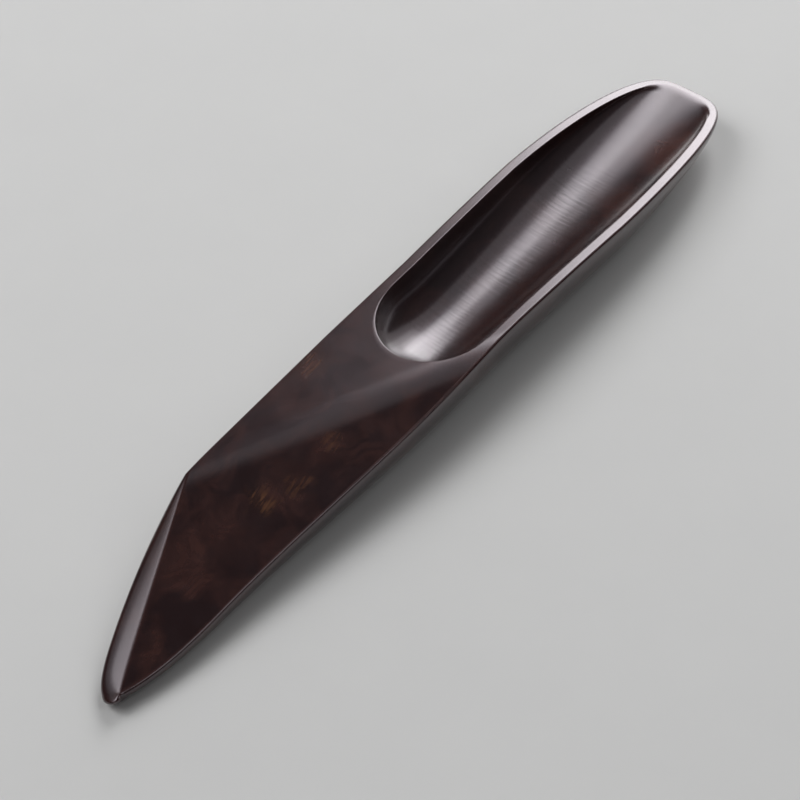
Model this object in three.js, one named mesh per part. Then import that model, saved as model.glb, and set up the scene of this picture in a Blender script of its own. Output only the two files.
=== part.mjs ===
// A tea scoop carved from one stick of dark hardwood, in millimetres, +Z up.
// X runs along the stick from the pointed tail to the bowl's front lip, +Y is the side with the bevelled
// spine, and the origin lies under the middle of the scoop, on the surface that it rests on.
//
// The surface is one net of columns, side by side round the scoop. Each column starts on the floor of the
// bowl, climbs the wall to the mouth, crosses the flat top to the top's edge, goes over the edge's small
// round, which widens into the bevel along the tail's spine, and runs down the rounded underside to the
// flat foot. A power shapes a rounded stretch as a superellipse: 1 gives a straight slope, 2 an ellipse,
// and more a squarer shoulder.

import * as THREE from "three";
import { mergeVertices } from "three/addons/utils/BufferGeometryUtils.js";

// The stick.
const scoopLength = 168;
const topHeight = 12.5;
const bodyWidth = 24;
const cornerWidth = 22.8;
const narrowingLength = 37;
const edgeRound = 0.5;

// The bowl end. The rim falls from the heel to the front lip. The plan flares towards flareWidth at the
// front, and over the last frontTaperLength it rounds off to a blunt end.
const flareWidth = 28;
const flareLength = 72;
const rimFallLength = 93;
const lipFall = 6.1;
const lipFallPower = 3;
const frontTaperLength = 42;
const frontTaperPower = 1.4;
const frontEndPower = 3.9;

// The hollow of the bowl. Along the centre it falls steeply from the heel over heelFloorRun to its lowest
// point, then rises ever faster to the front lip. Across, its section is rounded up to the mouth's sides.
// rimWidth is the flat rim beside the mouth, and lipWidth the same at the front. Where the facet lowers the
// rim, the wall comes down with it.
const mouthLength = 88.5;
const rimWidth = 2;
const lipWidth = 1.7;
const heelRoundLength = 12.6;
const heelFloorRun = 22;
const frontFloorRun = 32;
const floorHeight = 4;
const floorRisePower = 1.9;
const wallPower = 2.4;
const heelPower = 2.5;
const rimDropPower = 4;

// The tail. One facet falls from a ridge across the stick to the point, and meets the bevel along a
// straight crease. The bevel grows from nothing at the corner, where the crease starts, and narrows again
// at the tip.
const spineLength = 37;
const facetLength = 87.5;
const ridgeSoftness = 1;
const tipHeight = 3.4;
const tipOffset = 4;
const tipLength = 2.02;
const bevelWidth = 4.3;
const bevelDrop = 1.8;
const bevelGrowth = 2.7;
const bevelDropGrowth = 6;
const bevelCrispness = 0.6;
const tipNarrowing = 0.3;
const tipNarrowingPower = 16;

// The tail's other edge swells from the tip to a shallow waist, then widens slowly to the body.
const tipSwellRun = 6.8;
const tipSwell = 2.6;
const waistFromTip = 22;
const waistHalf = 7.6;
const waistRun = 22;
const waistWidening = 0.85;
const bodyRun = 23.4;
const bodySwell = 0.5;

// The rounded underside and the flat foot that the scoop rests on.
const footWidth = 5;
const footInset = 38;
const sidePower = 2.5;
const frontPower = 1.8;
const tailPower = 3;

// How finely the net is drawn: columns along one side of the scoop, and rows from the bowl's floor to the
// foot. The columns gather round the front, and the rows of the top on both sides of the ridge.
const outlineSteps = 60;
const mouthSteps = 400;
const bowlColumns = 25;
const frontGather = 1.35;
const bodyColumns = 8;
const spineColumns = 12;
const tipColumns = 3;
const wallRows = 8;
const topRows = 8;
const ridgeGather = 1.6;
const ridgeFirst = 0.06;
const ridgeLast = 0.96;
const rimMiddle = 0.5;
const edgeRows = 2;
const undersideRows = 7;
const joinDistance = 1e-4;

const { lerp, clamp } = THREE.MathUtils;
const frontX = scoopLength / 2;
const tailX = -scoopLength / 2;
const mouthFrontX = frontX - lipWidth;
const heelX = mouthFrontX - mouthLength;
const heelRoundX = heelX + heelRoundLength;
const floorBackX = heelX + heelFloorRun;
const floorFrontX = mouthFrontX - frontFloorRun;
const rimFallX = frontX - rimFallLength;
const taperX = frontX - frontTaperLength;
const cornerX = tailX + spineLength;
const flareX = frontX - flareLength;
const narrowingX = cornerX + narrowingLength;
const footHalf = footWidth / 2;
const footFrontX = frontX - footInset;
const footBackX = tailX + footInset;

// Height of the flat top at x: level along the body, then falling to the front lip ever faster.
function levelTop(x) {
  const run = Math.max(0, (x - rimFallX) / rimFallLength);
  return topHeight - lipFall * run ** lipFallPower;
}

// Half the width of the stick at x, with the bowl's flare but without the taper of its front.
function halfWidth(x) {
  const flare = clamp((x - flareX) / flareLength, 0, 1);
  const narrowing = clamp((narrowingX - x) / narrowingLength, 0, 1);
  return (bodyWidth + (flareWidth - bodyWidth) * flare - (bodyWidth - cornerWidth) * narrowing) / 2;
}

// The facet is the plane through the ridge's two ends and the point of the tail.
const corner = new THREE.Vector3(cornerX, halfWidth(cornerX) - edgeRound, topHeight);
const ridgeEnd = new THREE.Vector3(tailX + facetLength, -halfWidth(tailX + facetLength), topHeight);
const tip = new THREE.Vector3(tailX + tipLength, -tipOffset, tipHeight);
const facet = new THREE.Plane().setFromCoplanarPoints(corner, tip, ridgeEnd);
const spineNormal = new THREE.Vector2(tip.y - corner.y, corner.x - tip.x).normalize();

function facetTop(x, y) {
  return -(facet.constant + facet.normal.x * x + facet.normal.y * y) / facet.normal.z;
}

// Height of the top surface: the lower of the flat top and the facet, with the ridge between them rounded.
function topSurface(x, y) {
  const level = levelTop(x);
  const cut = facetTop(x, y);
  const share = clamp(0.5 + (cut - level) / (2 * ridgeSoftness), 0, 1);
  return lerp(cut, level, share) - ridgeSoftness * share * (1 - share);
}

function onTop(point) {
  return new THREE.Vector3(point.x, point.y, topSurface(point.x, point.y));
}

// The outline of the bowl end in plan, from the front apex along the +Y side to the heel's round.
function bowlOutline() {
  const points = [];
  for (let i = 0; i < outlineSteps; i += 1) {
    const share = Math.sin((i / outlineSteps) * Math.PI / 2);
    const x = taperX + frontTaperLength * (1 - share ** frontEndPower) ** (1 / frontTaperPower);
    points.push(new THREE.Vector2(x, halfWidth(x) * share));
  }
  for (let i = 0; i <= outlineSteps; i += 1) {
    const x = lerp(taperX, heelRoundX, i / outlineSteps);
    points.push(new THREE.Vector2(x, halfWidth(x)));
  }
  return new THREE.SplineCurve(points);
}

// The foot's outline beside a point of the scoop's outline at x. The angle goes from 0 on the centre line,
// where the foot's round end begins, to a right angle on its +Y or -Y side.
function footPoint(x, angle) {
  if (x > footBackX && x < footFrontX) return new THREE.Vector3(x, Math.sign(angle) * footHalf, 0);
  const end = x > 0 ? footFrontX : footBackX;
  return new THREE.Vector3(end + Math.sign(x) * footHalf * Math.cos(angle), footHalf * Math.sin(angle), 0);
}

// The rim at a share of the bowl's outline: a point on the outline, the way inward, and the mouth's point.
function rimPoint(outline, share) {
  const outer = outline.getPointAt(share);
  const along = outline.getTangentAt(share);
  const inward = share === 0 ? new THREE.Vector2(-1, 0) : new THREE.Vector2(-along.y, along.x);
  const mouth = outer.clone().addScaledVector(inward, lerp(rimWidth, lipWidth, inward.x ** 2));
  return { outer, inward, mouth };
}

// The mouth's side on +Y, from the front apex to the heel's round, which is half an ellipse.
const outline = bowlOutline();
const mouthLine = [];
for (let i = 0; i <= mouthSteps; i += 1) mouthLine.push(rimPoint(outline, i / mouthSteps).mouth);
const heelHalf = halfWidth(heelRoundX) - rimWidth;

// Half the mouth's width at x.
function mouthHalf(x) {
  const heelShare = Math.max(0, heelRoundX - x) / heelRoundLength;
  if (heelShare > 0) return heelHalf * Math.sqrt(Math.max(0, 1 - heelShare ** 2));
  const next = Math.max(1, mouthLine.findIndex((point) => point.x <= x));
  const front = mouthLine[next - 1];
  const back = mouthLine[next];
  return lerp(front.y, back.y, clamp((front.x - x) / (front.x - back.x), 0, 1));
}

// Height of the hollow at x on the centre line.
function hollowFloor(x) {
  const run = clamp((x - floorBackX) / (mouthFrontX - floorBackX), 0, 1);
  const low = lerp(floorHeight, levelTop(mouthFrontX), run ** floorRisePower);
  const back = clamp((floorBackX - x) / heelFloorRun, 0, 1);
  return lerp(topHeight, low, (1 - back ** heelPower) ** (1 / heelPower));
}

// Height of the hollow's surface: its depth on the centre line, less and less towards the mouth's sides.
function hollowSurface(x, y) {
  const across = clamp(Math.abs(y) / Math.max(mouthHalf(x), joinDistance), 0, 1);
  return lerp(levelTop(x), hollowFloor(x), (1 - across ** wallPower) ** (1 / wallPower));
}

// The columns beside the bowl, from the front apex to the start of the heel's round, on the +Y or -Y side.
function bowlSide(side) {
  const columns = [];
  for (let i = 0; i < bowlColumns; i += 1) {
    const { outer, inward, mouth } = rimPoint(outline, (i / bowlColumns) ** frontGather);
    const edge = outer.clone().addScaledVector(inward, edgeRound);
    for (const point of [outer, mouth, edge]) point.y *= side;
    const turn = clamp((frontX - outer.x) / (frontX - footFrontX), 0, 1);
    columns.push({
      mouth,
      ridge: rimMiddle,
      edge,
      outer,
      foot: footPoint(outer.x, Math.asin(clamp(outer.y / halfWidth(outer.x), -1, 1))),
      drop: edgeRound,
      crispness: 0,
      undersidePower: lerp(frontPower, sidePower, turn),
    });
  }
  return columns;
}

// The width of the bevel in plan at a share of the way from the corner to the tip, where it narrows again.
function bevelReach(share) {
  const width = lerp(edgeRound, bevelWidth, 1 - (1 - share) ** bevelGrowth);
  return width * (1 - tipNarrowing * share ** tipNarrowingPower);
}

// The edge of the top and the outer edge beyond it, from the heel's round on the +Y side to the tail's tip.
function spineSide() {
  const stretch = [];
  for (let i = 0; i < bodyColumns; i += 1) {
    const x = lerp(heelRoundX, cornerX, i / bodyColumns);
    const outer = new THREE.Vector2(x, halfWidth(x));
    const edge = new THREE.Vector2(x, halfWidth(x) - edgeRound);
    stretch.push({ edge, outer, drop: edgeRound, crispness: 0 });
  }
  for (let i = 0; i < spineColumns; i += 1) {
    const share = i / spineColumns;
    const edge = new THREE.Vector2(lerp(corner.x, tip.x, share), lerp(corner.y, tip.y, share));
    const outer = edge.clone().addScaledVector(spineNormal, bevelReach(share));
    const onset = 1 - (1 - share) ** bevelDropGrowth;
    const drop = lerp(edgeRound, bevelDrop, onset);
    stretch.push({ edge, outer, drop, crispness: bevelCrispness * onset });
  }
  return stretch;
}

// Round the tip, where the bevel narrows from its full width to the small round of the other edge.
function tipTurn(edgeNormal) {
  const stretch = [];
  const steps = 2 * tipColumns;
  const from = spineNormal.angle();
  const sweep = edgeNormal.angle() - from;
  for (let i = 0; i <= steps; i += 1) {
    const share = i / steps;
    const edge = new THREE.Vector2(tip.x, tip.y);
    const reach = new THREE.Vector2(lerp(bevelReach(1), edgeRound, share), 0);
    const outer = reach.rotateAround(new THREE.Vector2(0, 0), from + sweep * share).add(edge);
    const drop = lerp(bevelDrop, edgeRound, share);
    stretch.push({ edge, outer, drop, crispness: bevelCrispness * (1 - share) });
  }
  return stretch;
}

// The -Y edge of the tail, from the tip back to the heel's round.
function tailEdge(start) {
  const waist = new THREE.Vector2(tailX + waistFromTip, -waistHalf);
  const end = new THREE.Vector2(heelRoundX, -halfWidth(heelRoundX));
  const tipPull = new THREE.Vector2(start.x + tipSwellRun, start.y - tipSwell);
  const waistPull = new THREE.Vector2(waist.x + waistRun, waist.y - waistWidening);
  const bodyPull = new THREE.Vector2(end.x - bodyRun, end.y - bodySwell);
  const path = new THREE.CurvePath();
  path.add(new THREE.QuadraticBezierCurve(start, tipPull, waist));
  path.add(new THREE.CubicBezierCurve(waist, waistPull, bodyPull, end));
  return path;
}

function tailEdgeSide(curve) {
  const stretch = [];
  const count = bodyColumns + spineColumns;
  for (let i = 1; i <= count; i += 1) {
    const outer = curve.getPointAt(i / count);
    const along = curve.getTangentAt(i / count);
    const edge = outer.clone().add(new THREE.Vector2(-along.y, along.x).multiplyScalar(edgeRound));
    stretch.push({ edge, outer, drop: edgeRound, crispness: 0 });
  }
  return stretch;
}

// The share of the way from a column's mouth to its edge at which it crosses the ridge, kept off both ends.
function ridgeShare(mouth, edge) {
  const before = facetTop(mouth.x, mouth.y) - levelTop(mouth.x);
  const after = facetTop(edge.x, edge.y) - levelTop(edge.x);
  if (before <= after) return ridgeLast;
  return clamp(before / (before - after), ridgeFirst, ridgeLast);
}

// The columns from the heel's round on one side, along the spine, round the tip and back to the other side.
function tailColumns() {
  const edgeNormal = new THREE.Vector2(-tipSwell, -tipSwellRun).normalize();
  const start = new THREE.Vector2(tip.x, tip.y).addScaledVector(edgeNormal, edgeRound);
  const stretch = [...spineSide(), ...tipTurn(edgeNormal), ...tailEdgeSide(tailEdge(start))];
  const middle = (stretch.length - 1) / 2;
  return stretch.map((piece, index) => {
    const angle = Math.PI / 2 * (1 + index / middle);
    const mouthX = heelRoundX + heelRoundLength * Math.cos(angle);
    const mouth = new THREE.Vector2(mouthX, heelHalf * Math.sin(angle));
    const side = Math.sign(middle - index);
    const turn = clamp((piece.outer.x - tailX) / (footBackX - tailX), 0, 1);
    return {
      ...piece,
      mouth,
      ridge: ridgeShare(mouth, piece.edge),
      foot: footPoint(piece.outer.x, side * Math.sqrt(turn) * Math.PI / 2),
      undersidePower: lerp(tailPower, sidePower, turn),
    };
  });
}

// The share of the way across the top for a row, with the rows gathered on both sides of the ridge.
function topShare(row, ridge) {
  const run = 2 * row / topRows - 1;
  if (run < 0) return ridge * (1 - (-run) ** ridgeGather);
  return ridge + (1 - ridge) * run ** ridgeGather;
}

// The points of one column, from the bowl's floor to the foot.
function columnPoints(column) {
  const points = [];
  const floorX = clamp(column.mouth.x, floorBackX, floorFrontX);
  const mouth = onTop(column.mouth);
  const rimDrop = levelTop(mouth.x) - mouth.z;
  for (let row = 0; row < wallRows; row += 1) {
    const out = Math.sin((row / wallRows) * Math.PI / 2) ** (2 / wallPower);
    const x = lerp(floorX, mouth.x, out);
    const y = mouth.y * out;
    points.push(new THREE.Vector3(x, y, hollowSurface(x, y) - rimDrop * out ** rimDropPower));
  }
  for (let row = 0; row < topRows; row += 1) {
    points.push(onTop(column.mouth.clone().lerp(column.edge, topShare(row, column.ridge))));
  }
  const edge = onTop(column.edge);
  for (let row = 0; row < edgeRows; row += 1) {
    const out = Math.sin((row / edgeRows) * Math.PI / 2);
    const fall = lerp(1 - Math.sqrt(1 - out ** 2), out, column.crispness);
    const plan = column.edge.clone().lerp(column.outer, out);
    points.push(new THREE.Vector3(plan.x, plan.y, edge.z - column.drop * fall));
  }
  const outerHeight = edge.z - column.drop;
  for (let row = 0; row <= undersideRows; row += 1) {
    const angle = (row / undersideRows) * Math.PI / 2;
    const out = Math.cos(angle) ** (2 / column.undersidePower);
    const down = Math.sin(angle) ** (2 / column.undersidePower);
    const x = lerp(column.foot.x, column.outer.x, out);
    const y = lerp(column.foot.y, column.outer.y, out);
    points.push(new THREE.Vector3(x, y, outerHeight * (1 - down)));
  }
  return points;
}

// The closed net: the columns joined side by side, and the flat foot filled in across the scoop.
function scoopGeometry() {
  const columns = [...bowlSide(1), ...tailColumns(), ...bowlSide(-1).slice(1).reverse()];
  const net = columns.map(columnPoints);
  const rows = net[0].length;
  const count = net.length;
  const triangles = [];
  for (let k = 0; k < count; k += 1) {
    const here = k * rows;
    const next = ((k + 1) % count) * rows;
    for (let row = 0; row < rows - 1; row += 1) {
      triangles.push([here + row, here + row + 1, next + row + 1]);
      triangles.push([here + row, next + row + 1, next + row]);
    }
  }
  const foot = rows - 1;
  for (let k = 0; k < count / 2; k += 1) {
    const left = k * rows + foot;
    const leftNext = (k + 1) * rows + foot;
    const right = ((count - k) % count) * rows + foot;
    const rightNext = (count - k - 1) * rows + foot;
    triangles.push([left, rightNext, leftNext]);
    triangles.push([left, right, rightNext]);
  }
  return closedGeometry(net.flat(), triangles);
}

// A geometry of the triangles whose corners stay apart once points at one place are joined.
function closedGeometry(points, triangles) {
  const loose = new THREE.BufferGeometry().setFromPoints(points);
  loose.setIndex(triangles.flat());
  const geometry = mergeVertices(loose, joinDistance);
  const index = Array.from(geometry.index.array);
  const kept = [];
  for (let i = 0; i < index.length; i += 3) {
    const [a, b, c] = index.slice(i, i + 3);
    if (a !== b && b !== c && c !== a) kept.push(a, b, c);
  }
  geometry.setIndex(kept);
  geometry.computeVertexNormals();
  return geometry;
}

const darkWood = new THREE.MeshStandardMaterial({ color: 0x2b1a17, roughness: 0.35, metalness: 0 });
const scoop = new THREE.Mesh(scoopGeometry(), darkWood);
scoop.name = "scoop_body";

const group = new THREE.Group();
group.add(scoop);

export default group;
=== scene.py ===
"""A tea scoop carved from one stick of dark burl wood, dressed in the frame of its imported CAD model.

The scoop's surface is drawn from the same named sizes as the CAD solid, in millimetres, as one fine net.
Its columns lie side by side round it, each from the bowl's floor over the rim and the edge to the foot.
X runs from the pointed tail to the bowl's front lip, Y towards the side with the bevelled spine, and Z up.
"""

import logging
import math
from dataclasses import dataclass, field
from enum import Enum

import bmesh
import bpy
import numpy as np
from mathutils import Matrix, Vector


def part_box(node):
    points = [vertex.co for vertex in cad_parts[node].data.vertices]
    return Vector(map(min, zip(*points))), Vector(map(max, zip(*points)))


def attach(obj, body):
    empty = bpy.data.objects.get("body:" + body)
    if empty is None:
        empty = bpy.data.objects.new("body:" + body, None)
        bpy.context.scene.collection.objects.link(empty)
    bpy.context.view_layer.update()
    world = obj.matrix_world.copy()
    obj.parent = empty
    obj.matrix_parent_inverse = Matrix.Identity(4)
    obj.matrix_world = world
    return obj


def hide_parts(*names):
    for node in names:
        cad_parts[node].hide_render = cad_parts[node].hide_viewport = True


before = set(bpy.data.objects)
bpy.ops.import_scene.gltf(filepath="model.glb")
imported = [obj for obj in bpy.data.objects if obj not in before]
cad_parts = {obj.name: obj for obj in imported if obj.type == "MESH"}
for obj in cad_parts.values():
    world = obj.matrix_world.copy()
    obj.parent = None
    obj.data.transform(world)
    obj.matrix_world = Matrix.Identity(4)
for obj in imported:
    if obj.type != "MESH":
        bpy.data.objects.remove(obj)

MILLIMETRE = 0.001
NOISE_MEAN = 0.5

Colour = tuple[float, float, float]
Triple = tuple[float, float, float]
Range = tuple[float, float]
Values = float | np.ndarray

log = logging.getLogger("tea_scoop")


def blend(first: Values, last: Values, share: Values) -> Values:
    """Returns the value at a share of the way from first to last."""
    return first + (last - first) * share


def read(place: np.ndarray, run: np.ndarray, line: np.ndarray) -> np.ndarray:
    """Reads each coordinate of a line at places along its run."""
    axes = range(line.shape[-1])
    return np.stack([np.interp(place, run, line[:, axis]) for axis in axes], axis=-1)


def walk(line: np.ndarray, share: np.ndarray) -> tuple[np.ndarray, np.ndarray]:
    """Finds points along a line in plan by their share of its length.

    Args:
        line: The line's points, one row each.
        share: Shares of the length.

    Returns:
        The points, and the direction to the line's left at each of them.
    """
    run = np.concatenate([[0.0], np.cumsum(np.linalg.norm(np.diff(line, axis=0), axis=1))])
    place = share * run[-1]
    along = read(place, run, np.gradient(line, run, axis=0))
    left = np.stack([-along[:, 1], along[:, 0]], axis=-1)
    return read(place, run, line), left / np.linalg.norm(left, axis=1, keepdims=True)


def raised(plan: np.ndarray, height: np.ndarray) -> np.ndarray:
    """Gives points in plan their heights."""
    return np.concatenate([plan, height[..., None]], axis=-1)


def curve(start: np.ndarray, pull: np.ndarray, end: np.ndarray, share: np.ndarray) -> np.ndarray:
    """Draws a curve from start to end that bends towards the point that pulls it."""
    return (1 - share) ** 2 * start + 2 * share * (1 - share) * pull + share**2 * end


def add_object(name: str, data: bpy.types.ID) -> bpy.types.Object:
    """Adds an object to the scene.

    Args:
        name: Its name.
        data: Its mesh, lamp or camera.

    Returns:
        The object.
    """
    added = bpy.data.objects.new(name, data)
    bpy.context.scene.collection.objects.link(added)
    return added


class Side(Enum):
    """A side of the scoop, with the sign of its Y."""

    SPINE = 1
    PLAIN = -1


class Mark(Enum):
    """A value stored at each point of the scoop's mesh, for its finish to read."""

    HOLLOW = "hollow"
    # Nearness to the edges: lightens them partly as rubbed wood and partly as a painted highlight, and
    # smooths them.
    WEAR = "wear"


class Lookup(Enum):
    """The places of a Mix node's colour sockets."""

    FACTOR = 0
    FIRST = 6
    SECOND = 7
    RESULT = 2


@dataclass
class Columns:
    """Columns of the surface, side by side, with one point or value per column in each field."""

    mouth: np.ndarray
    edge: np.ndarray
    outer: np.ndarray
    foot: np.ndarray
    drop: np.ndarray
    crispness: np.ndarray
    underside_power: np.ndarray

    def part(self, chosen: slice) -> "Columns":
        """Returns the chosen columns."""
        return Columns(**{name: values[chosen] for name, values in vars(self).items()})

    def followed_by(self, *others: "Columns") -> "Columns":
        """Joins these columns and others in order, as one set."""
        sets = (self, *others)
        return Columns(**{name: np.concatenate([vars(one)[name] for one in sets]) for name in vars(self)})


@dataclass
class Stick:
    """The stick of wood that the scoop is carved from, with the sizes that its two ends share."""

    length: float = 168.0
    top_height: float = 12.5
    body_width: float = 24.0
    corner_width: float = 22.8
    narrowing_length: float = 37.0
    edge_round: float = 0.5
    flare_width: float = 28.0
    flare_length: float = 72.0
    rim_fall_length: float = 93.0
    lip_fall: float = 6.1
    lip_fall_power: float = 3.0
    spine_length: float = 37.0

    @property
    def front(self) -> float:
        """X of the bowl's front lip."""
        return self.length / 2

    @property
    def tail(self) -> float:
        """X of the tail's point."""
        return -self.length / 2

    @property
    def corner(self) -> float:
        """X of the corner where the bevelled spine starts."""
        return self.tail + self.spine_length

    def level_top(self, x: Values) -> Values:
        """Gives the height of the flat top, which falls to the front lip ever faster."""
        run = np.maximum(0.0, (x - (self.front - self.rim_fall_length)) / self.rim_fall_length)
        return self.top_height - self.lip_fall * run**self.lip_fall_power

    def half_width(self, x: Values) -> Values:
        """Gives half the width, with the bowl's flare but without the taper of its front.

        Args:
            x: Places along the scoop.

        Returns:
            Half the width at those places.
        """
        flare = np.clip((x - (self.front - self.flare_length)) / self.flare_length, 0.0, 1.0)
        narrowing = np.clip((self.corner + self.narrowing_length - x) / self.narrowing_length, 0.0, 1.0)
        width = self.body_width + (self.flare_width - self.body_width) * flare
        return (width - (self.body_width - self.corner_width) * narrowing) / 2


@dataclass
class Underside:
    """The rounded underside and the flat foot that the scoop rests on."""

    stick: Stick
    foot_width: float = 5.0
    foot_inset: float = 38.0
    side_power: float = 2.5
    front_power: float = 1.8
    tail_power: float = 3.0
    rows: int = 30

    @property
    def foot_front(self) -> float:
        """X where the foot's front end starts to round off."""
        return self.stick.front - self.foot_inset

    @property
    def foot_back(self) -> float:
        """X where the foot's back end starts to round off."""
        return self.stick.tail + self.foot_inset

    def foot_points(self, x: np.ndarray, angle: np.ndarray) -> np.ndarray:
        """Finds the foot's outline beside points of the scoop's outline.

        Args:
            x: Places of the outline along the scoop.
            angle: Turn round the foot's end, from 0 on the centre line to a right angle on the side.

        Returns:
            Points on the foot's outline, one row each.
        """
        half = self.foot_width / 2
        beside = (x > self.foot_back) & (x < self.foot_front)
        end = np.where(x > 0, self.foot_front, self.foot_back)
        foot_x = np.where(beside, x, end + np.sign(x) * half * np.cos(angle))
        foot_y = np.where(beside, np.sign(angle) * half, half * np.sin(angle))
        return np.stack([foot_x, foot_y, np.zeros_like(x)], axis=-1)

    def hull(self, columns: Columns, edge_height: np.ndarray) -> np.ndarray:
        """Draws the rows from the outer edge down to the foot.

        Args:
            columns: The columns to draw.
            edge_height: Height of the top at each column's edge.

        Returns:
            Points by row and column.
        """
        angle = np.linspace(0.0, math.pi / 2, self.rows + 1)[:, None]
        out = np.cos(angle).clip(0.0) ** (2 / columns.underside_power)
        down = np.sin(angle) ** (2 / columns.underside_power)
        plan = blend(columns.foot[None, :, :2], columns.outer[None], out[..., None])
        return raised(plan, (edge_height - columns.drop) * (1 - down))


@dataclass
class Bowl:
    """The open bowl: its outline in plan, its narrow rim and its hollow."""

    stick: Stick
    underside: Underside
    front_taper_length: float = 42.0
    front_taper_power: float = 1.4
    front_end_power: float = 3.9
    mouth_length: float = 88.5
    rim_width: float = 2.0
    lip_width: float = 1.7
    heel_round_length: float = 12.6
    heel_floor_run: float = 22.0
    front_floor_run: float = 32.0
    floor_height: float = 4.0
    floor_rise_power: float = 1.9
    wall_power: float = 2.4
    heel_power: float = 2.5
    lip_round: float = 0.2
    front_lip_round: float = 1.6
    front_lip_run: float = 4.0
    outline_steps: int = 1200
    corner_steps: int = 36
    columns: int = 110
    front_gather: float = 1.35
    wall_rows: int = 44
    wall_steps: int = 400
    drop_power: float = 4.0
    least_half: float = 0.001
    lip_rows: int = 5

    @property
    def mouth_front(self) -> float:
        """X of the mouth's front end."""
        return self.stick.front - self.lip_width

    @property
    def heel(self) -> float:
        """X of the mouth's back end."""
        return self.mouth_front - self.mouth_length

    @property
    def heel_round(self) -> float:
        """X where the round of the mouth's back end starts."""
        return self.heel + self.heel_round_length

    def outline(self) -> np.ndarray:
        """Draws the bowl's outline from the front apex along the spine side to the heel's round.

        Returns:
            Points in plan, one row each.
        """
        taper = self.stick.front - self.front_taper_length
        share = np.sin(np.linspace(0.0, math.pi / 2, self.outline_steps, endpoint=False))
        narrowing = (1 - share**self.front_end_power) ** (1 / self.front_taper_power)
        round_x = taper + self.front_taper_length * narrowing
        side_x = np.linspace(taper, self.heel_round, self.outline_steps)
        front = np.stack([round_x, self.stick.half_width(round_x) * share], axis=-1)
        side = np.stack([side_x, self.stick.half_width(side_x)], axis=-1)
        return np.concatenate([front, side])

    def rim(self, share: np.ndarray) -> tuple[np.ndarray, np.ndarray, np.ndarray]:
        """Lays out the rim on the spine side, from the front apex to the heel's round.

        The mouth's outline is evened out over a short run, which eases its front corner.

        Args:
            share: Shares of the outline's length, the first of them 0.

        Returns:
            Points on the outline, the directions in plan that lead inward there, and points on the mouth.
        """
        even = np.linspace(0.0, 1.0, self.outline_steps)
        outer, inward = walk(self.outline(), even)
        inward[0] = (-1.0, 0.0)
        width = blend(self.rim_width, self.lip_width, inward[:, 0] ** 2)
        mouth = outer + inward * width[:, None]
        weights = np.hanning(2 * self.corner_steps + 1)
        weights /= weights.sum()
        ahead = mouth[self.corner_steps : 0 : -1] * np.array([1.0, Side.PLAIN.value])
        behind = 2 * mouth[-1] - mouth[-2 : -self.corner_steps - 2 : -1]
        line = np.concatenate([ahead, mouth, behind])
        mouth = np.stack([np.convolve(line[:, axis], weights, "valid") for axis in range(2)], axis=-1)
        return read(share, even, outer), read(share, even, inward), read(share, even, mouth)

    def side(self, side: Side) -> Columns:
        """Lays out the columns from the front apex to the heel's round.

        Args:
            side: The side of the scoop that they are on.

        Returns:
            The columns.
        """
        outer, inward, mouth = self.rim((np.arange(self.columns) / self.columns) ** self.front_gather)
        edge = outer + inward * self.stick.edge_round
        mirror = np.array([1.0, side.value])
        outer, mouth, edge = outer * mirror, mouth * mirror, edge * mirror
        under = self.underside
        turn = np.clip((self.stick.front - outer[:, 0]) / (self.stick.front - under.foot_front), 0.0, 1.0)
        across = np.clip(outer[:, 1] / self.stick.half_width(outer[:, 0]), -1.0, 1.0)
        return Columns(
            mouth=mouth,
            edge=edge,
            outer=outer,
            foot=under.foot_points(outer[:, 0], np.arcsin(across)),
            drop=np.full(self.columns, self.stick.edge_round),
            crispness=np.zeros(self.columns),
            underside_power=blend(under.front_power, under.side_power, turn),
        )

    @property
    def heel_half(self) -> float:
        """Half the mouth's width where the round of its back end starts."""
        return float(self.stick.half_width(self.heel_round)) - self.rim_width

    def mouth_half(self, x: np.ndarray) -> np.ndarray:
        """Gives half the mouth's width.

        Args:
            x: Places along the scoop.

        Returns:
            Half the width at those places, and 0 beyond the mouth's ends.
        """
        mouth = self.rim(np.linspace(0.0, 1.0, self.outline_steps))[2][::-1]
        heel = np.sqrt((1 - ((self.heel_round - x) / self.heel_round_length) ** 2).clip(0.0))
        return np.where(x < self.heel_round, self.heel_half * heel, np.interp(x, mouth[:, 0], mouth[:, 1]))

    def floor(self, x: np.ndarray) -> np.ndarray:
        """Gives the hollow's height on its centre line: a steep heel, then a floor that rises to the lip.

        Args:
            x: Places along the scoop.

        Returns:
            The heights at those places.
        """
        start = self.heel + self.heel_floor_run
        lip = self.stick.level_top(self.mouth_front)
        run = np.clip((x - start) / (self.mouth_front - start), 0.0, 1.0)
        back = np.clip((start - x) / self.heel_floor_run, 0.0, 1.0)
        low = self.floor_height + (lip - self.floor_height) * run**self.floor_rise_power
        climb = 1 - (1 - back**self.heel_power) ** (1 / self.heel_power)
        return blend(low, self.stick.top_height, climb)

    def lip_reach(self, x: np.ndarray) -> np.ndarray:
        """Gives how far the mouth's edge is rounded: hardly along the sides, softly at the front."""
        frontness = np.clip(1 - (self.mouth_front - x) / self.front_lip_run, 0.0, 1.0)
        return blend(self.lip_round, self.front_lip_round, frontness)

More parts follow.
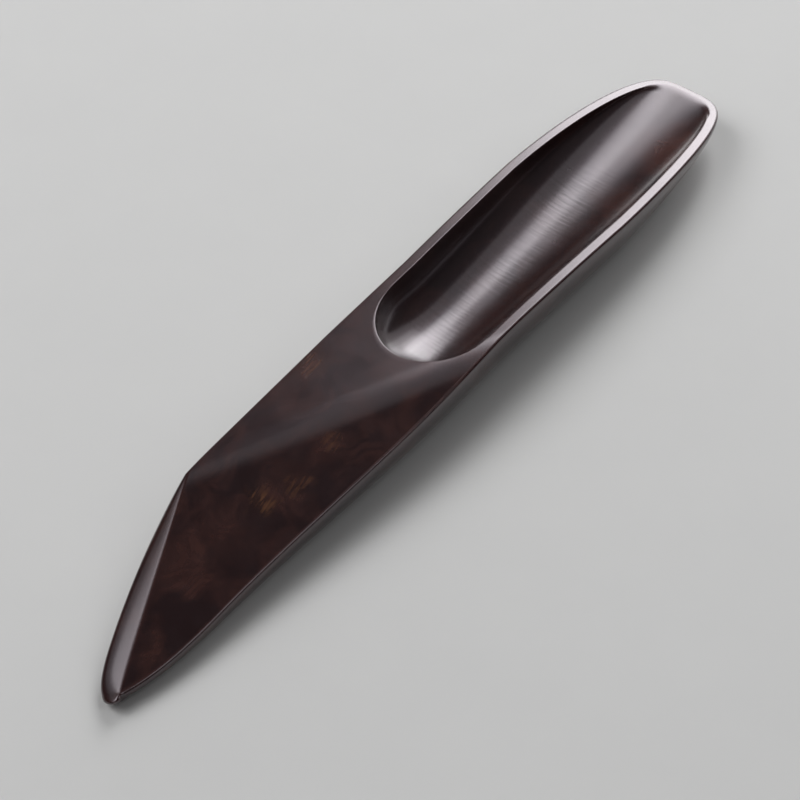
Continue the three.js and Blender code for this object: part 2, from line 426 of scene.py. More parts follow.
    def wall(self, mouth: np.ndarray) -> np.ndarray:
        """Draws the rows from the bowl's floor up its wall, evenly spaced, to where the lip's round starts.

        The hollow is as deep as its floor on the centre line, and its section from there out is rounded.

        Args:
            mouth: Each column's point on the mouth.

        Returns:
            Points by row and column.
        """
        floor_start, floor_end = self.heel + self.heel_floor_run, self.mouth_front - self.front_floor_run
        floor_x = np.clip(mouth[:, 0], floor_start, floor_end)
        angle = np.linspace(0.0, math.pi / 2, self.wall_steps)[:, None]
        out = np.sin(angle) ** (2 / self.wall_power)
        x = blend(floor_x, mouth[:, 0], out)
        y = mouth[:, 1] * out
        level = self.stick.level_top(x)
        across = (np.abs(y) / self.mouth_half(x).clip(self.least_half)).clip(0.0, 1.0)
        section = (1 - across**self.wall_power) ** (1 / self.wall_power)
        section[-1] = 0.0
        drop = (self.stick.level_top(mouth[:, 0]) - mouth[:, 2]) * out**self.drop_power
        line = np.stack([x, y, level - (level - self.floor(x)) * section - drop], axis=-1)
        steps = np.linalg.norm(np.diff(line, axis=0), axis=-1)
        run = np.concatenate([np.zeros((1, len(mouth))), np.cumsum(steps, axis=0)])
        top = run[-1] - self.lip_reach(mouth[:, 0])
        places = np.linspace(0.0, top, self.wall_rows)
        return np.stack([read(places[:, k], run[:, k], line[:, k]) for k in range(len(mouth))], axis=1)


@dataclass
class Tail:
    """The pointed tail: one facet on top, the bevelled spine on one side and a soft edge on the other."""

    stick: Stick
    bowl: Bowl
    underside: Underside
    facet_length: float = 87.5
    ridge_softness: float = 1.0
    tip_height: float = 3.4
    tip_offset: float = 4.0
    tip_length: float = 2.02
    bevel_width: float = 4.3
    bevel_drop: float = 1.8
    bevel_growth: float = 2.7
    bevel_drop_growth: float = 6.0
    bevel_crispness: float = 0.6
    tip_narrowing: float = 0.3
    tip_narrowing_power: float = 16.0
    tip_softening_power: float = 3.0
    tip_swell_run: float = 6.8
    tip_swell: float = 2.6
    waist_from_tip: float = 22.0
    waist_half: float = 7.6
    waist_run: float = 22.0
    waist_widening: float = 0.85
    body_run: float = 23.4
    body_swell: float = 0.5
    body_columns: int = 40
    spine_columns: int = 64
    tip_columns: int = 8
    curve_steps: int = 1200

    @property
    def corner(self) -> np.ndarray:
        """The point on top where the bevelled spine starts."""
        x = self.stick.corner
        return np.array([x, self.stick.half_width(x) - self.stick.edge_round, self.stick.top_height])

    @property
    def tip(self) -> np.ndarray:
        """The point where the facet, the bevel and the other edge meet."""
        return np.array([self.stick.tail + self.tip_length, -self.tip_offset, self.tip_height])

    @property
    def spine_normal(self) -> np.ndarray:
        """The direction in plan that the spine faces."""
        run = self.tip[:2] - self.corner[:2]
        return np.array([run[1], -run[0]]) / np.linalg.norm(run)

    @property
    def edge_normal(self) -> np.ndarray:
        """The direction in plan that the other edge faces beside the tip."""
        size = math.hypot(self.tip_swell, self.tip_swell_run)
        return np.array([-self.tip_swell, -self.tip_swell_run]) / size

    def facet_top(self, place: np.ndarray) -> np.ndarray:
        """Gives the height of the facet's plane.

        Args:
            place: Points in plan.

        Returns:
            The plane's height at each of them.
        """
        ridge_x = self.stick.tail + self.facet_length
        ridge_end = np.array([ridge_x, -self.stick.half_width(ridge_x), self.stick.top_height])
        normal = np.cross(self.tip - self.corner, ridge_end - self.corner)
        return self.corner[2] - (place - self.corner[:2]) @ normal[:2] / normal[2]

    def bevel_reach(self, share: Values) -> Values:
        """Gives the bevel's width in plan.

        Args:
            share: Shares of the way from the corner to the tip.

        Returns:
            The widths there.
        """
        grown = 1 - (1 - share) ** self.bevel_growth
        width = blend(self.stick.edge_round, self.bevel_width, grown)
        return width * (1 - self.tip_narrowing * share**self.tip_narrowing_power)

    def spine_side(self) -> list[np.ndarray]:
        """Lays out the edge from the heel's round to the tip.

        Returns:
            The top's edge, the outer edge, the drop between them and the crispness.
        """
        stick = self.stick
        body_x = np.linspace(self.bowl.heel_round, stick.corner, self.body_columns, endpoint=False)
        half = stick.half_width(body_x)
        share = np.linspace(0.0, 1.0, self.spine_columns, endpoint=False)
        crease = blend(self.corner[:2], self.tip[:2], share[:, None])
        beyond = crease + self.spine_normal * self.bevel_reach(share)[:, None]
        onset = 1 - (1 - share) ** self.bevel_drop_growth
        edge = np.concatenate([np.stack([body_x, half - stick.edge_round], axis=-1), crease])
        outer = np.concatenate([np.stack([body_x, half], axis=-1), beyond])
        bevel_drop = blend(stick.edge_round, self.bevel_drop, onset)
        drop = np.concatenate([np.full_like(body_x, stick.edge_round), bevel_drop])
        crispness = np.concatenate([np.zeros_like(body_x), self.bevel_crispness * onset])
        return [edge, outer, drop, crispness]

    def tip_turn(self) -> list[np.ndarray]:
        """Lays out the edge round the tip, where the bevel's plane runs on and narrows to the other edge.

        Returns:
            The top's edge, the outer edge, the drop between them and the crispness.
        """
        round_size = self.stick.edge_round
        share = np.linspace(0.0, 1.0, 2 * self.tip_columns + 1)
        start = math.atan2(self.spine_normal[1], self.spine_normal[0])
        end = math.atan2(self.edge_normal[1], self.edge_normal[0]) + 2 * math.pi
        angle = blend(start, end, share)
        first_reach = self.bevel_reach(1.0)
        reach = blend(first_reach, round_size, share)
        crease = self.corner - self.tip
        slope = crease[2] / np.linalg.norm(crease[:2])
        turned = angle - start
        in_plane = reach * (self.bevel_drop / first_reach * np.cos(turned) + slope * np.sin(turned))
        edge = np.tile(self.tip[:2], (len(share), 1))
        outer = edge + np.stack([np.cos(angle), np.sin(angle)], axis=-1) * reach[:, None]
        crispness = self.bevel_crispness * (1 - share**self.tip_softening_power)
        return [edge, outer, np.maximum(in_plane, round_size), crispness]

    def soft_edge(self) -> list[np.ndarray]:
        """Lays out the other edge, from the tip over its swell and its shallow waist to the heel's round.

        Returns:
            The top's edge, the outer edge, the drop between them and the crispness.
        """
        round_size = self.stick.edge_round
        start = self.tip[:2] + self.edge_normal * round_size
        waist = np.array([self.stick.tail + self.waist_from_tip, -self.waist_half])
        end_x = self.bowl.heel_round
        end = np.array([end_x, -self.stick.half_width(end_x)])
        swell = start + np.array([self.tip_swell_run, -self.tip_swell])
        waist_pull = waist + np.array([self.waist_run, -self.waist_widening])
        body_pull = end + np.array([-self.body_run, -self.body_swell])
        t = np.linspace(0.0, 1.0, self.curve_steps)[:, None]
        first = curve(start, swell, waist, t)
        outer_pulls = 3 * (1 - t) ** 2 * t * waist_pull + 3 * (1 - t) * t**2 * body_pull
        second = (1 - t) ** 3 * waist + outer_pulls + t**3 * end
        count = self.body_columns + self.spine_columns
        outer, inward = walk(np.concatenate([first, second[1:]]), np.arange(1, count + 1) / count)
        return [outer + inward * round_size, outer, np.full(count, round_size), np.zeros(count)]

    def columns(self) -> Columns:
        """Lays out the columns from the heel's round along the spine, round the tip and back.

        Returns:
            The columns.
        """
        stretches = zip(self.spine_side(), self.tip_turn(), self.soft_edge())
        edge, outer, drop, crispness = [np.concatenate(parts) for parts in stretches]
        middle = (len(edge) - 1) / 2
        index = np.arange(len(edge))
        angle = math.pi / 2 * (1 + index / middle)
        bowl = self.bowl
        mouth_x = bowl.heel_round + bowl.heel_round_length * np.cos(angle)
        under = self.underside
        turn = np.clip((outer[:, 0] - self.stick.tail) / (under.foot_back - self.stick.tail), 0.0, 1.0)
        return Columns(
            mouth=np.stack([mouth_x, bowl.heel_half * np.sin(angle)], axis=-1),
            edge=edge,
            outer=outer,
            foot=under.foot_points(outer[:, 0], np.sign(middle - index) * np.sqrt(turn) * math.pi / 2),
            drop=drop,
            crispness=crispness,
            underside_power=blend(under.tail_power, under.side_power, turn),
        )


@dataclass
class ScoopBody:
    """The carved scoop as one fine mesh, with marks for its finish."""

    stick: Stick = field(default_factory=Stick)
    node: str = "scoop_body"
    slot: str = "dark_hardwood"
    top_rows: int = 72
    edge_rows: int = 8
    wear_reach: float = 0.8
    widest_lip_share: float = 0.45
    join_distance: float = 1e-7

    def __post_init__(self) -> None:
        """Makes the sub-assemblies that share the stick."""
        self.underside = Underside(self.stick)
        self.bowl = Bowl(self.stick, self.underside)
        self.tail = Tail(self.stick, self.bowl, self.underside)

    def on_top(self, place: np.ndarray) -> np.ndarray:
        """Lifts points in plan onto the top: the flat top or the facet, with a soft ridge between them.

        Args:
            place: Points in plan.

        Returns:
            Points on the top surface.
        """
        level = self.stick.level_top(place[..., 0])
        cut = self.tail.facet_top(place)
        soft = self.tail.ridge_softness
        share = np.clip(0.5 + (cut - level) / (2 * soft), 0.0, 1.0)
        return raised(place, blend(cut, level, share) - soft * share * (1 - share))

    def all_columns(self) -> Columns:
        """Lays out the columns all the way round, from the front apex along the spine side and back."""
        back = self.bowl.side(Side.PLAIN).part(slice(None, 0, -1))
        return self.bowl.side(Side.SPINE).followed_by(self.tail.columns(), back)

    def grid(self) -> tuple[np.ndarray, dict[Mark, np.ndarray]]:
        """Draws the whole net.

        Returns:
            Points by row and column in millimetres, and each mark's values in the same order.
        """
        columns = self.all_columns()
        mouth = self.on_top(columns.mouth)
        edge = self.on_top(columns.edge)
        wall = self.bowl.wall(mouth)
        span = np.linalg.norm(columns.edge - columns.mouth, axis=1)
        first = np.minimum(self.bowl.lip_reach(columns.mouth[:, 0]) / span, self.widest_lip_share)
        share = blend(first, 1.0, np.linspace(0.0, 1.0, self.top_rows, endpoint=False)[:, None])
        top = self.on_top(blend(columns.mouth, columns.edge, share[..., None]))
        t = np.linspace(0.0, 1.0, self.bowl.lip_rows + 2)[1:-1, None, None]
        lip = curve(wall[-1], mouth, top[0], t)
        out = np.sin(np.linspace(0.0, math.pi / 2, self.edge_rows, endpoint=False))[:, None]
        fall = blend(1 - np.sqrt(1 - out**2), out, columns.crispness)
        plan = blend(columns.edge, columns.outer, out[..., None])
        round_off = raised(plan, edge[:, 2] - columns.drop * fall)
        hull = self.underside.hull(columns, edge[:, 2])
        points = np.concatenate([wall, lip, top, round_off, hull])
        hollow = np.zeros(points.shape[:2])
        hollow[: len(wall)] = 1.0
        hollow[len(wall) : len(wall) + len(lip)] = np.linspace(1.0, 0.0, len(lip))[:, None]
        return points, {Mark.HOLLOW: hollow, Mark.WEAR: self.wear(points, mouth, edge, hull[0])}

    def wear(self, points: np.ndarray, *lines: np.ndarray) -> np.ndarray:
        """Finds how near each point is to an edge that hands rub, for the rubbed edges and for the painted
        highlight along them.

        Args:
            points: The net's points by row and column.
            lines: Edges, with one point per column each.

        Returns:
            Nearness from 0 to 1 by row and column.
        """
        wear = np.zeros(points.shape[:2])
        for line in lines:
            distance = np.linalg.norm(points - line, axis=-1)
            wear = np.maximum(wear, np.exp(-((distance / self.wear_reach) ** 2)))
        return wear

    def faces(self, rows: int, count: int) -> list[tuple[int, ...]]:
        """Joins neighbouring points of the net, and fills in the flat foot.

        Args:
            rows: Number of rows.
            count: Number of columns.

        Returns:
            The faces, as numbers of points that are stored row by row.
        """
        quads = []
        for row in range(rows - 1):
            here, above = row * count, (row + 1) * count
            for k in range(count):
                after = (k + 1) % count
                quads.append((here + k, above + k, above + after, here + after))
        foot = (rows - 1) * count
        for k in range(count // 2):
            ring = (foot + k, foot + (count - k) % count, foot + count - k - 1, foot + k + 1)
            quads.append(tuple(dict.fromkeys(ring)))
        return quads

    def fitted(self, points: np.ndarray) -> np.ndarray:
        """Keeps the fine surface inside the box of the CAD node.

        Args:
            points: Points in metres.

        Returns:
            The points, drawn in by what little they stood out.
        """
        low, high = (np.array(corner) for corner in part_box(self.node))
        own_low, own_high = points.min(axis=0), points.max(axis=0)
        ratio = np.minimum(1.0, (high - low) / (own_high - own_low))
        return (low + high) / 2 + (points - (own_low + own_high) / 2) * ratio

    def build(self, finish: "BurlWood") -> bpy.types.Object:
        """Makes the scoop's object in place of its CAD node.

        Args:
            finish: The wood that it is made of.

        Returns:
            The object.
        """
        points, marks = self.grid()
        rows, count = points.shape[:2]
        flat = self.fitted(points.reshape(-1, 3) * MILLIMETRE)
        mesh = bpy.data.meshes.new("carved_scoop")
        mesh.from_pydata(flat.tolist(), [], self.faces(rows, count))
        for mark, values in marks.items():
            attribute = mesh.attributes.new(mark.value, "FLOAT", "POINT")
            attribute.data.foreach_set("value", values.reshape(-1).astype(np.float32))
        joined = bmesh.new()
        joined.from_mesh(mesh)
        bmesh.ops.remove_doubles(joined, verts=joined.verts, dist=self.join_distance)
        bmesh.ops.recalc_face_normals(joined, faces=joined.faces)
        for face in joined.faces:
            face.smooth = True
        joined.to_mesh(mesh)
        joined.free()
        mesh.materials.append(finish.material())
        scoop = add_object("carved_scoop", mesh)
        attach(scoop, "root")
        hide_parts(self.node)
        return scoop


@dataclass(frozen=True)
class Lumps:
    """A noise texture's settings: lumps per unit, layers, their strength, the twist and density by axis."""

    scale: float
    detail: float
    rough: float = 0.5
    twist: float = 0.0
    density: Triple = (1.0, 1.0, 1.0)


@dataclass(frozen=True)
class Signal:
    """A value that varies over the surface, for use in plain expressions."""

    graph: "Graph"
    socket: bpy.types.NodeSocket

    def __add__(self, other: "Signal | float") -> "Signal":
        """Adds another value."""
        return self.graph.math("ADD", self, other)

    def __radd__(self, other: float) -> "Signal":
        """Adds this to a number."""
        return self.graph.math("ADD", other, self)

    def __sub__(self, other: "Signal | float") -> "Signal":
        """Takes another value away."""
        return self.graph.math("SUBTRACT", self, other)

    def __rsub__(self, other: float) -> "Signal":
        """Takes this away from a number."""
        return self.graph.math("SUBTRACT", other, self)

    def __mul__(self, other: "Signal | float") -> "Signal":
        """Multiplies by another value."""
        return self.graph.math("MULTIPLY", self, other)

    def __rmul__(self, other: float) -> "Signal":
        """Multiplies a number by this."""
        return self.graph.math("MULTIPLY", other, self)

    def step(self, low: float, high: float) -> "Signal":
        """Rises smoothly from 0 to 1.

        Args:
            low: Where the rise starts.
            high: Where it ends. A value below low makes a fall.

        Returns:
            The smooth step.
        """
        settings = {"interpolation_type": "SMOOTHSTEP"}
        node = self.graph.node("ShaderNodeMapRange", settings, {0: self, 1: low, 2: high, 3: 0.0, 4: 1.0})
        return Signal(self.graph, node.outputs[0])


@dataclass
class Graph:
    """The nodes of one material or world."""

    tree: bpy.types.NodeTree

    def __post_init__(self) -> None:
        """Clears the nodes that Blender starts with."""
        self.tree.nodes.clear()

    def node(self, kind: str, settings: dict[str, object], inputs: dict[object, object]) -> bpy.types.Node:
        """Adds a node, with its settings first and then its sockets.

        Args:
            kind: The node's type.
            settings: The node's own settings by name.
            inputs: A value or a link for each socket, by name or place.

        Returns:
            The node.
        """
        node = self.tree.nodes.new(kind)
        for name, value in settings.items():
            setattr(node, name, value)
        for name, value in inputs.items():
            socket = node.inputs[name]
            if isinstance(value, Signal):
                self.tree.links.new(value.socket, socket)
            elif isinstance(value, tuple) and socket.type == "RGBA":
                socket.default_value = (*value, 1.0)
            else:
                socket.default_value = value
        return node

    def math(self, operation: str, *values: Signal | float) -> Signal:
        """Adds a Math node, which works on some values."""
        node = self.node("ShaderNodeMath", {"operation": operation}, dict(enumerate(values)))
        return Signal(self, node.outputs[0])

    def scaled(self, vector: Signal, factors: Triple) -> Signal:
        """Multiplies a vector by a factor for each axis."""
        node = self.node("ShaderNodeVectorMath", {"operation": "MULTIPLY"}, {0: vector, 1: factors})
        return Signal(self, node.outputs[0])

    def shifted(self, vector: Signal, other: Signal | Triple) -> Signal:
        """Adds another vector to a vector."""
        node = self.node("ShaderNodeVectorMath", {"operation": "ADD"}, {0: vector, 1: other})
        return Signal(self, node.outputs[0])

    def distance(self, vector: Signal, place: Triple) -> Signal:
        """Measures how far a vector is from a place."""
        node = self.node("ShaderNodeVectorMath", {"operation": "DISTANCE"}, {0: vector, 1: place})
        return Signal(self, node.outputs["Value"])

    def mixed(self, factor: Signal | float, first: Signal | Colour, second: Signal | Colour) -> Signal:
        """Mixes two colours.

        Args:
            factor: Share of the second colour.
            first: The first colour.
            second: The second colour.

        Returns:
            The mixed colour.
        """
        inputs = {Lookup.FACTOR.value: factor, Lookup.FIRST.value: first, Lookup.SECOND.value: second}
        node = self.node("ShaderNodeMix", {"data_type": "RGBA"}, inputs)
        return Signal(self, node.outputs[Lookup.RESULT.value])

    def texture(self, vector: Signal, lumps: Lumps) -> bpy.types.Node:
        """Adds a noise texture.

        Args:
            vector: Where it is read.
            lumps: Its settings.

        Returns:
            The node.
        """
        inputs = {
            "Vector": self.scaled(vector, lumps.density),
            "Scale": lumps.scale,
            "Detail": lumps.detail,
            "Roughness": lumps.rough,
            "Distortion": lumps.twist,
        }
        return self.node("ShaderNodeTexNoise", {}, inputs)

    def noise(self, vector: Signal, lumps: Lumps) -> Signal:
        """Gives a noise texture's value, which lies mostly from 0.3 to 0.7."""
        return Signal(self, self.texture(vector, lumps).outputs[0])

    def wander(self, vector: Signal, lumps: Lumps, size: float) -> Signal:
        """Moves a vector about by a smooth random amount.

        Args:
            vector: The vector.
            lumps: The settings of the movement's texture.
            size: The whole width of the movement.

        Returns:
            The moved vector.
        """
        colour = Signal(self, self.texture(vector, lumps).outputs["Color"])
        pull = self.shifted(colour, (-NOISE_MEAN,) * 3)
        return self.shifted(vector, self.scaled(pull, (size,) * 3))

    def mark(self, mark: Mark) -> Signal:
        """Reads a mark of the mesh."""
        node = self.node("ShaderNodeAttribute", {"attribute_name": mark.value}, {})
        return Signal(self, node.outputs["Fac"])

    def place(self) -> Signal:
        """Reads the place on the object, in metres."""
        return Signal(self, self.node("ShaderNodeTexCoord", {}, {}).outputs["Object"])

    def surface(self, inputs: dict[str, object]) -> None:
        """Ends a material with its shader, which takes a value or a link for each socket by name."""
        shader = self.node("ShaderNodeBsdfPrincipled", {}, inputs)
        self.node("ShaderNodeOutputMaterial", {}, {"Surface": Signal(self, shader.outputs[0])})


def bare_material(name: str) -> tuple[bpy.types.Material, Graph]:
    """Makes a material that has no nodes yet.

    Args:
        name: Its name.

    Returns:
        The material, and the graph for its nodes.
    """
    material = bpy.data.materials.new(name)
    material.use_nodes = True
    return material, Graph(material.node_tree)


@dataclass(frozen=True)
class Spot:
    """A place where the figure of the wood is stronger or weaker than around it, in millimetres."""

    place: Triple
    reach: float
    amount: float


@dataclass(frozen=True)
class BurlWood:
    """Dark burl hardwood with a hand-rubbed polish: a cloudy reddish figure, golden streaks, fine pores,
    painted shade in the bowl's hollow, and edges lightened partly by rubbing and partly by a painted
    highlight.

    Shares run from 0 to 1. Places, reaches and sizes are in millimetres, and the relief's heights in metres.
    """

    name: str = "dark_burl_wood"
    heart: Colour = (0.0150, 0.0049, 0.0047)
    brown: Colour = (0.085, 0.031, 0.023)
    # Painted shade: the deep colour darkens the inside of the bowl.
    deep: Colour = (0.0040, 0.0011, 0.0014)
    gold: Colour = (0.150, 0.064, 0.028)
    # Partly the colour of rubbed edges, partly a painted highlight along them.
    worn_and_edge_highlight: Colour = (0.060, 0.026, 0.024)
    brown_spots: tuple[Spot, ...] = (
        Spot((-60.5, 0.7, 7.7), 8.0, 0.22),
        Spot((-66.5, -3.4, 5.8), 6.5, -0.45),
        Spot((-74.0, -3.0, 4.6), 4.5, 0.14),
        Spot((-54.6, 3.0, 9.2), 5.0, 0.12),
        Spot((-49.5, -2.5, 8.5), 6.0, 0.15),
        Spot((-52.0, 6.5, 11.0), 3.0, -0.08),
        Spot((-38.5, -2.5, 10.0), 6.5, 0.18),
        Spot((-36.0, -7.0, 9.0), 3.5, -0.08),
        Spot((-28.0, -3.0, 10.8), 6.0, 0.22),
        Spot((-14.0, 4.0, 12.5), 6.0, -0.15),
        Spot((-42.6, 2.6, 10.6), 2.4, -0.6),
        Spot((-16.0, 9.0, 12.5), 5.0, 0.20),
        Spot((52.0, -6.0, 5.5), 9.0, 0.45),
        Spot((68.0, -6.0, 6.5), 10.0, 0.95),
    )
    gold_spots: tuple[Spot, ...] = (
        Spot((-42.7, -0.8, 9.6), 3.8, 0.65),
        Spot((-36.5, -3.6, 9.6), 3.2, 0.30),
        Spot((-26.1, -2.5, 11.3), 2.6, 0.30),
        Spot((-15.6, 9.4, 12.5), 3.6, 0.30),
    )
    curl_spot: Spot = Spot((-23.5, -6.0, 10.6), 6.0, 0.75)
    spot_core: float = 0.2
    swirl: Lumps = Lumps(0.055, 2.0)
    swirl_size: float = 22.0
    wobble: Lumps = Lumps(0.3, 3.0)
    wobble_size: float = 7.0
    clouds: Lumps = Lumps(0.16, 5.0, 0.6, 0.5, (0.5, 1.0, 1.0))
    cloud_range: Range = (0.38, 0.66)
    cloud_share: float = 0.34
    curl_share: float = 0.25
    curl_lines: Range = (0.35, 0.15)
    fibres: Lumps = Lumps(2.6, 4.0, 0.6, 0.0, (0.10, 1.0, 1.0))
    fibre_base: float = 0.6
    fibre_gain: float = 0.8
    pores: Lumps = Lumps(5.5, 1.0, 0.5, 0.0, (0.16, 1.0, 1.0))
    pore_range: Range = (0.66, 0.78)
    pore_share: float = 0.6
    streaks: Lumps = Lumps(2.0, 1.0)
    streak_range: Range = (0.46, 0.60)
    streak_base: float = 0.15
    streak_length: float = 8.0
    streak_turn: float = 0.117
    # Share of painted shade that darkens the bowl's hollow towards the deep colour.
    hollow_shade_share: float = 0.35
    # Share of edge lightening, partly rubbed wood and partly a painted highlight.
    wear_share: float = 0.45
    polish: Lumps = Lumps(0.22, 3.0, 0.6)
    polish_change: float = 0.12
    roughness: float = 0.225
    hollow_roughness: float = 0.02
    wear_smoothness: float = 0.03
    ripples: Lumps = Lumps(1.8, 2.0, 0.55, 0.0, (1.0, 0.09, 0.09))
    ripple_height: float = 0.000030
    ripple_place: Triple = (22.0, 0.0, 4.0)
    ripple_range: Range = (46.0, 27.6)
    grain_height: float = 0.0000025
    sheen_level: float = 0.5
    sheen_tint: Colour = (1.0, 0.87, 1.0)
    coat: float = 0.6
    coat_roughness: float = 0.15

    def material(self) -> bpy.types.Material:
        """Makes the material.

        Returns:
            The material.
        """
        material, graph = bare_material(self.name)
        place = graph.scaled(graph.place(), (1 / MILLIMETRE,) * 3)
        swirled = graph.wander(place, self.swirl, self.swirl_size)
        fibre = graph.noise(swirled, self.fibres)
        colour = self.colour(graph, place, swirled, fibre)
        hollow = graph.mark(Mark.HOLLOW)
        wear = graph.mark(Mark.WEAR)
        pores = graph.noise(swirled, self.pores).step(*self.pore_range)
        colour = graph.mixed(pores * self.pore_share, colour, self.heart)
        # Painted shade: darkens the bowl's hollow.
        colour = graph.mixed(hollow * self.hollow_shade_share, colour, self.deep)
        # Lightens the edges: partly rubbed wood, partly a painted highlight.
        colour = graph.mixed(wear * self.wear_share, colour, self.worn_and_edge_highlight)
        polish = graph.noise(place, self.polish) - NOISE_MEAN
        roughness = self.roughness + polish * self.polish_change
        roughness = roughness + hollow * self.hollow_roughness - wear * self.wear_smoothness
        graph.surface(
            {
                "Base Color": colour,
                "Roughness": roughness,
                "Normal": self.relief(graph, place, fibre, pores, hollow),
                "Specular IOR Level": self.sheen_level,
                "Specular Tint": self.sheen_tint,
                "Coat Weight": self.coat,
                "Coat Roughness": self.coat_roughness,
            }
        )
        return material

    def colour(self, graph: Graph, place: Signal, swirled: Signal, fibre: Signal) -> Signal:
        """Paints the figure: dark heartwood, reddish clouds and spots, golden streaks and dark curls.

        Args:
            graph: Where the nodes go.
            place: The place on the scoop in millimetres.
            swirled: The same, swirled as the grain is.
            fibre: The fine lines along the grain.

        Returns:
            The colour.
        """
        curls = graph.node(
            "ShaderNodeTexWave",
            {"wave_type": "BANDS", "bands_direction": "DIAGONAL"},
            {"Vector": swirled, "Scale": 0.22, "Distortion": 7.0, "Detail": 3.0, "Detail Scale": 0.9},
        )
        curl = Signal(graph, curls.outputs["Fac"])
        wobbled = graph.wander(place, self.wobble, self.wobble_size)
        clouds = graph.noise(swirled, self.clouds).step(*self.cloud_range) * self.cloud_share
        brown = clouds + self.spread(graph, wobbled, self.brown_spots)
        brown = brown * (1 - self.curl_share + self.curl_share * curl)
        brown = brown * (self.fibre_base + self.fibre_gain * fibre)
        colour = graph.mixed(brown, self.heart, self.brown)
        turned = graph.node(
            "ShaderNodeMapping",
            {"vector_type": "TEXTURE"},
            {
                "Vector": place,
                "Rotation": (0.0, 0.0, self.streak_turn),
                "Scale": (self.streak_length, 1.0, self.streak_length),
            },
        )
        streak = graph.noise(Signal(graph, turned.outputs[0]), self.streaks).step(*self.streak_range)
        streak = self.streak_base + (1 - self.streak_base) * streak
        gold = self.spread(graph, wobbled, self.gold_spots) * streak
        colour = graph.mixed(gold, colour, self.gold)
        lines = curl.step(*self.curl_lines) * self.spread(graph, wobbled, (self.curl_spot,))
        return graph.mixed(lines, colour, self.heart)

    def spread(self, graph: Graph, place: Signal, spots: tuple[Spot, ...]) -> Signal:
        """Adds up how much each of some spots does at a place.

        Args:
            graph: Where the nodes go.
            place: The place on the scoop in millimetres.
            spots: The spots.

        Returns:
            The sum, with each spot fading out at its reach.
        """
        total = 0.0
        for spot in spots:
            core = self.spot_core * spot.reach
            nearness = graph.distance(place, spot.place).step(spot.reach, core)
            total = total + nearness * spot.amount
        return total

    def relief(self, graph: Graph, place: Signal, fibre: Signal, pores: Signal, hollow: Signal) -> Signal:
        """Carves the fine relief: grain and pores, and the tool's ripples across the bowl.

        Args:
            graph: Where the nodes go.
            place: The place on the scoop in millimetres.
            fibre: The fine lines along the grain.
            pores: The open pores.
            hollow: Where the bowl's hollow is.

        Returns:
            The normal.
        """
        ripples = graph.noise(place, self.ripples) * hollow
        ripples = ripples * graph.distance(place, self.ripple_place).step(*self.ripple_range)
        height = (fibre - pores) * self.grain_height + ripples * self.ripple_height
        bump = graph.node("ShaderNodeBump", {}, {"Strength": 1.0, "Distance": 1.0, "Height": height})
        return Signal(graph, bump.outputs[0])


@dataclass(frozen=True)
class PaleFloorFinish:
    """A plain pale matt floor with a barely visible mottle."""

    name: str = "pale_floor"
    pale: Colour = (0.72, 0.72, 0.715)
    shade: Colour = (0.69, 0.69, 0.688)
    mottle: Lumps = Lumps(60.0, 4.0, 0.6)
    roughness: float = 0.85
    sheen_level: float = 0.2

    def material(self) -> bpy.types.Material:
        """Makes the material.

        Returns:
            The material.
        """
        material, graph = bare_material(self.name)
        colour = graph.mixed(graph.noise(graph.place(), self.mottle), self.pale, self.shade)
        inputs = {"Base Color": colour, "Roughness": self.roughness, "Specular IOR Level": self.sheen_level}
        graph.surface(inputs)
        return material


def direction(azimuth: float, elevation: float) -> Vector:
    """Gives the direction at an azimuth from +X towards +Y and an elevation, both in degrees."""
    turn, rise = math.radians(azimuth), math.radians(elevation)
    return Vector((math.cos(rise) * math.cos(turn), math.cos(rise) * math.sin(turn), math.sin(rise)))


def stand_off(viewer: bpy.types.Object, target: Vector, towards: Vector, distance: float) -> None:
    """Stands a lamp or camera off its target, towards a direction, and faces it back."""
    viewer.location = target + towards * distance
    viewer.rotation_euler = (-towards).to_track_quat("-Z", "Y").to_euler()


@dataclass
class Floor:
    """The floor that the scoop lies on."""

    radius: float = 6.0
    segments: int = 96

    def build(self, finish: PaleFloorFinish) -> bpy.types.Object:
        """Makes the floor.

        Args:
            finish: The floor's finish.

        Returns:
            The object.
        """
        mesh = bpy.data.meshes.new("floor")
        disc = bmesh.new()
        bmesh.ops.create_circle(disc, cap_ends=True, segments=self.segments, radius=self.radius)
        disc.to_mesh(mesh)
        disc.free()
        mesh.materials.append(finish.material())
        floor = add_object("floor", mesh)
        return floor


@dataclass
class SoftBox:
    """A soft rectangular lamp that faces the scoop, given by the directions that it spans."""

    name: str
    azimuths: Range
    elevations: Range
    radiance: float
    distance: float = 1.0

    def build(self) -> None:
        """Makes the lamp."""
        azimuth, elevation = sum(self.azimuths) / 2, sum(self.elevations) / 2
        half_turn = math.radians(self.azimuths[1] - self.azimuths[0]) / 2
        half_rise = math.radians(self.elevations[1] - self.elevations[0]) / 2
        light = bpy.data.lights.new(self.name, "AREA")
        light.shape = "RECTANGLE"
        light.size = 2 * self.distance * math.tan(half_turn) * math.cos(math.radians(elevation))
        light.size_y = 2 * self.distance * math.tan(half_rise)
        light.energy = self.radiance * math.pi * light.size * light.size_y
        lamp = add_object(self.name, light)
        lamp.visible_camera = False
        stand_off(lamp, Vector(), direction(azimuth, elevation), self.distance)


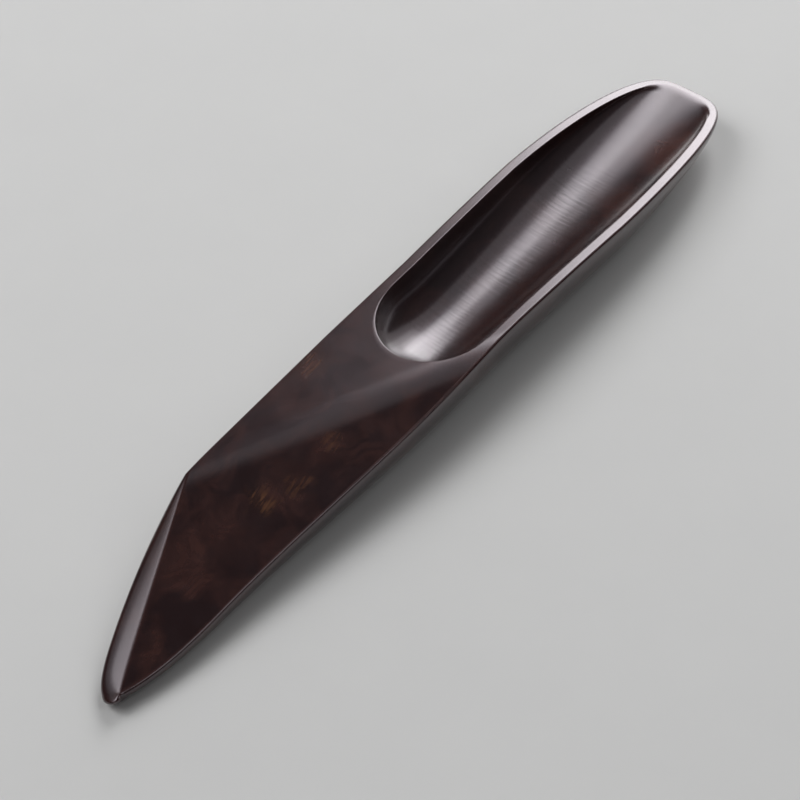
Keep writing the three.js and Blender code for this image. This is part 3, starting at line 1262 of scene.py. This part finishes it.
@dataclass
class Studio:
    """The lamps and the even light of the room."""

    room: Colour = (0.03, 0.03, 0.031)
    lamps: list[SoftBox] = field(
        default_factory=lambda: [
            SoftBox("window_wide", (-20.0, 30.0), (1.0, 57.0), radiance=0.75),
            SoftBox("window_middle", (-5.0, 30.0), (1.0, 44.0), radiance=1.5),
            SoftBox("window_upper", (11.0, 30.0), (44.0, 57.0), radiance=1.7),
            SoftBox("window_bright", (10.0, 30.0), (19.0, 53.0), radiance=3.4),
            SoftBox("window_edge", (16.0, 28.0), (19.0, 50.0), radiance=1.7),
            SoftBox("window_low", (4.0, 24.0), (1.0, 19.0), radiance=1.45),
            SoftBox("window_high", (0.0, 35.0), (57.0, 74.0), radiance=0.5),
            SoftBox("window_skirt", (-52.0, -20.0), (1.0, 52.0), radiance=0.08),
            SoftBox("window_core", (4.0, 20.0), (22.0, 40.0), radiance=2.0),
            SoftBox("low_band", (27.0, 50.0), (0.5, 14.0), radiance=2.6),
            SoftBox("low_far", (40.0, 80.0), (0.5, 26.0), radiance=0.2),
            SoftBox("side_strip", (87.0, 126.0), (36.0, 64.0), radiance=0.42),
            SoftBox("side_wide", (87.0, 136.0), (24.0, 66.0), radiance=0.38),
            SoftBox("side_core", (99.0, 128.0), (36.0, 60.0), radiance=2.7),
            SoftBox("overhead", (-60.0, 40.0), (64.0, 88.0), radiance=0.025),
            SoftBox("haze", (30.0, 56.0), (36.0, 60.0), radiance=0.05),
            SoftBox("edge_light", (-92.0, -64.0), (36.0, 72.0), radiance=1.6),
            SoftBox("room_fill", (119.0, 161.0), (29.0, 71.0), radiance=2.2, distance=1.2),
        ]
    )

    def build(self) -> None:
        """Makes the world and the lamps."""
        world = bpy.data.worlds.new("room")
        world.use_nodes = True
        graph = Graph(world.node_tree)
        light = graph.node("ShaderNodeBackground", {}, {"Color": self.room, "Strength": 1.0})
        graph.node("ShaderNodeOutputWorld", {}, {"Surface": Signal(graph, light.outputs[0])})
        bpy.context.scene.world = world
        for lamp in self.lamps:
            lamp.build()


@dataclass
class Viewpoint:
    """The photograph's camera, fitted to the scoop's outlines."""

    target: Triple = (-0.00503, -0.00002, 0.0)
    azimuth: float = 217.11
    elevation: float = 48.0
    distance: float = 0.5
    focal_pixels: float = 2948.5
    image_pixels: float = 800.0
    sensor: float = 36.0
    nearest: float = 0.01

    def build(self) -> None:
        """Makes the camera, which the scene renders through."""
        lens = bpy.data.cameras.new("viewpoint")
        lens.sensor_width = self.sensor
        lens.lens = self.focal_pixels * self.sensor / self.image_pixels
        lens.clip_start = self.nearest
        camera = add_object("viewpoint", lens)
        stand_off(camera, Vector(self.target), direction(self.azimuth, self.elevation), self.distance)
        bpy.context.scene.camera = camera


def main() -> None:
    """Builds the scene in order, and logs how many faces the floor and the scoop have."""
    logging.basicConfig(level=logging.INFO, format="%(name)s: %(message)s")
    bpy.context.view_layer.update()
    Viewpoint().build()
    Studio().build()
    bpy.context.scene.view_settings.view_transform = "Standard"
    for piece in (Floor().build(PaleFloorFinish()), ScoopBody().build(BurlWood())):
        log.info("%s: %d faces", piece.name, len(piece.data.polygons))


if __name__ == "__main__":
    main()
